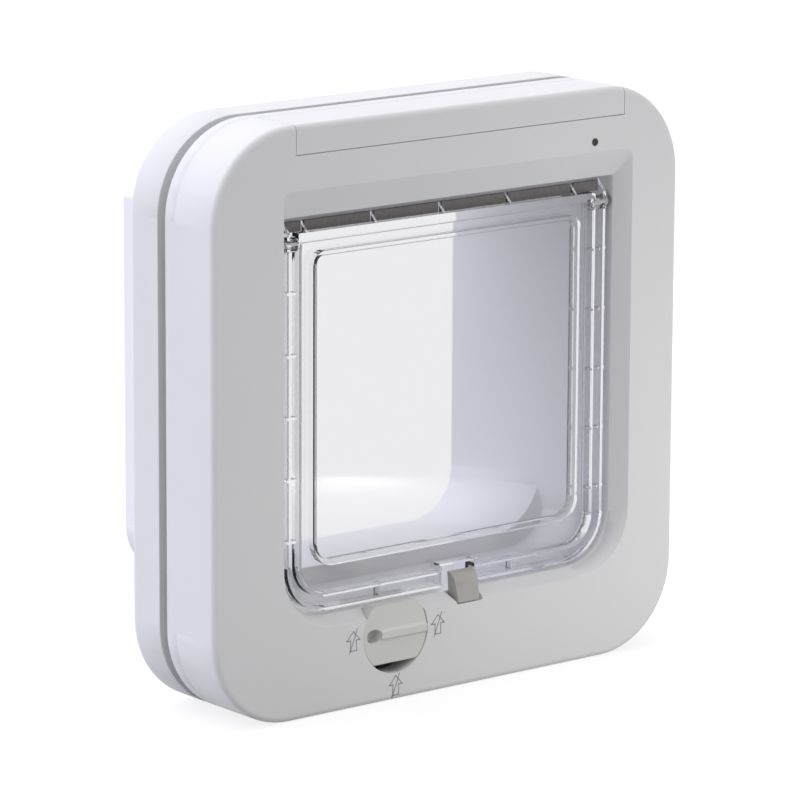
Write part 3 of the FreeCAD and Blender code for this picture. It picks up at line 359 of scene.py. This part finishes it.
def make_prints():
    """Three arrow marks, to the left and right of the knob and below it."""
    low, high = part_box("lock_knob")
    knob_x = (low.x + high.x) / 2
    knob_z = (low.z + high.z) / 2
    face_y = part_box("front_bezel")[0].y
    places = (
        ("left", (knob_x - PRINT_REACH_X, knob_z)),
        ("right", (knob_x + PRINT_REACH_X, knob_z)),
        ("low", (knob_x, knob_z - PRINT_REACH_Z)),
    )
    ink = moulded("print_ink", (0.34, 0.34, 0.35), roughness=0.5, depth=0.01, mottle=0.1)
    for side, middle in places:
        vertices = []
        faces = []
        corners = arrow_outline()
        for start, end in zip(corners, corners[1:] + corners[:1]):
            add_line(vertices, faces, start, end, middle, face_y)
        stroke = (STROKE_HALF_WIDTH, STROKE_HALF_HEIGHT)
        add_line(vertices, faces, (-stroke[0], -stroke[1]), stroke, middle, face_y)
        mesh = bpy.data.meshes.new("print_" + side)
        mesh.from_pydata(vertices, [], faces)
        mark = bpy.data.objects.new("print_" + side, mesh)
        bpy.context.scene.collection.objects.link(mark)
        mesh.materials.append(ink)
        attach(mark, "housing")


def make_world():
    world = bpy.data.worlds.new("studio")
    bpy.context.scene.world = world
    tree = Tree(world)
    direction = tree.coordinate("Generated")
    total = None
    for axis, colour in LOBES:
        facing = tree.add("ShaderNodeVectorMath", {0: direction, 1: axis}, operation="DOT_PRODUCT")
        lit = tree.add("ShaderNodeMath", {0: facing.outputs["Value"], 1: 0.0}, operation="MAXIMUM")
        base = SURROUND if total is None else total
        term = tree.add("ShaderNodeVectorMath", {0: colour, "Scale": lit.outputs["Value"]}, operation="SCALE")
        summed = tree.add("ShaderNodeVectorMath", {0: term.outputs["Vector"], 1: base}, operation="ADD")
        total = summed.outputs["Vector"]
    lamp = tree.add("ShaderNodeBackground", {"Color": total})
    backdrop = tree.add("ShaderNodeBackground", {"Color": rgba(WHITE)})
    mixed = tree.add("ShaderNodeMixShader", {0: seen(tree), 1: lamp.outputs[0], 2: backdrop.outputs[0]})
    tree.add("ShaderNodeOutputWorld", {"Surface": mixed.outputs[0]})


def seen(tree):
    """One for rays that show the background: straight from the camera, mirrored or through glass.

    A ray that has first met a matt surface carries light, so it never counts.
    """
    path = tree.add("ShaderNodeLightPath")
    mirrored = tree.add(
        "ShaderNodeMath",
        {0: path.outputs["Is Camera Ray"], 1: path.outputs["Is Glossy Ray"]},
        operation="MAXIMUM",
    )
    through = tree.add(
        "ShaderNodeMath",
        {0: mirrored.outputs["Value"], 1: path.outputs["Is Transmission Ray"]},
        operation="MAXIMUM",
    )
    unlit = tree.add("ShaderNodeMath", {0: path.outputs["Diffuse Depth"], 1: 0.5}, operation="LESS_THAN")
    shown = tree.add(
        "ShaderNodeMath",
        {0: through.outputs["Value"], 1: unlit.outputs["Value"]},
        operation="MULTIPLY",
    )
    return shown.outputs["Value"]


def make_lamp():
    """The small lamp that makes the face lighter towards its right-hand side. It is never seen itself."""
    data = bpy.data.lights.new("side_lamp", "AREA")
    data.shape = "DISK"
    data.size = LAMP_SIZE
    data.energy = LAMP_POWER
    lamp = bpy.data.objects.new("side_lamp", data)
    lamp.location = LAMP_PLACE
    toward = VIEW_TARGET - LAMP_PLACE
    lamp.rotation_euler = toward.to_track_quat("-Z", "Y").to_euler()
    lamp.visible_camera = False
    lamp.visible_glossy = False
    lamp.visible_transmission = False
    bpy.context.scene.collection.objects.link(lamp)


def make_floor():
    side = FLOOR_SIZE / 2
    mesh = bpy.data.meshes.new("floor")
    corners = [(-side, -side, 0), (side, -side, 0), (side, side, 0), (-side, side, 0)]
    mesh.from_pydata(corners, [], [(0, 1, 2, 3)])
    floor = bpy.data.objects.new("floor", mesh)
    bpy.context.scene.collection.objects.link(floor)
    material = bpy.data.materials.new("floor_card")
    tree = Tree(material)
    card = tree.add("ShaderNodeBsdfDiffuse", {"Color": rgba(FLOOR_COLOUR)})
    bounce = tree.add("ShaderNodeBsdfDiffuse", {"Color": rgba(FLOOR_BOUNCE)})
    glow = tree.add("ShaderNodeEmission", {"Color": rgba(WHITE), "Strength": FLOOR_GLOW})
    bright = tree.add("ShaderNodeAddShader", {0: card.outputs[0], 1: glow.outputs[0]})
    mixed = tree.add("ShaderNodeMixShader", {0: seen(tree), 1: bounce.outputs[0], 2: bright.outputs[0]})
    tree.add("ShaderNodeOutputMaterial", {"Surface": mixed.outputs[0]})
    mesh.materials.append(material)


def make_camera():
    forward = Vector((
        sin(VIEW_YAW) * cos(VIEW_PITCH),
        cos(VIEW_YAW) * cos(VIEW_PITCH),
        -sin(VIEW_PITCH),
    ))
    level = Vector((cos(VIEW_YAW), -sin(VIEW_YAW), 0))
    upright = level.cross(forward)
    right = cos(VIEW_ROLL) * level + sin(VIEW_ROLL) * upright
    up = cos(VIEW_ROLL) * upright - sin(VIEW_ROLL) * level
    place = VIEW_TARGET - forward * VIEW_DISTANCE
    camera_data = bpy.data.cameras.new("photograph")
    camera_data.lens = VIEW_LENS
    camera_data.sensor_width = SENSOR
    camera_data.clip_end = VIEW_FAR
    camera = bpy.data.objects.new("photograph", camera_data)
    camera.matrix_world = Matrix((
        (right.x, up.x, -forward.x, place.x),
        (right.y, up.y, -forward.y, place.y),
        (right.z, up.z, -forward.z, place.z),
        (0, 0, 0, 1),
    ))
    bpy.context.scene.collection.objects.link(camera)
    bpy.context.scene.camera = camera


bpy.context.scene.view_settings.view_transform = "Standard"
make_camera()
make_world()
make_lamp()
make_floor()
dress_nodes()
soften_edges()
make_prints()
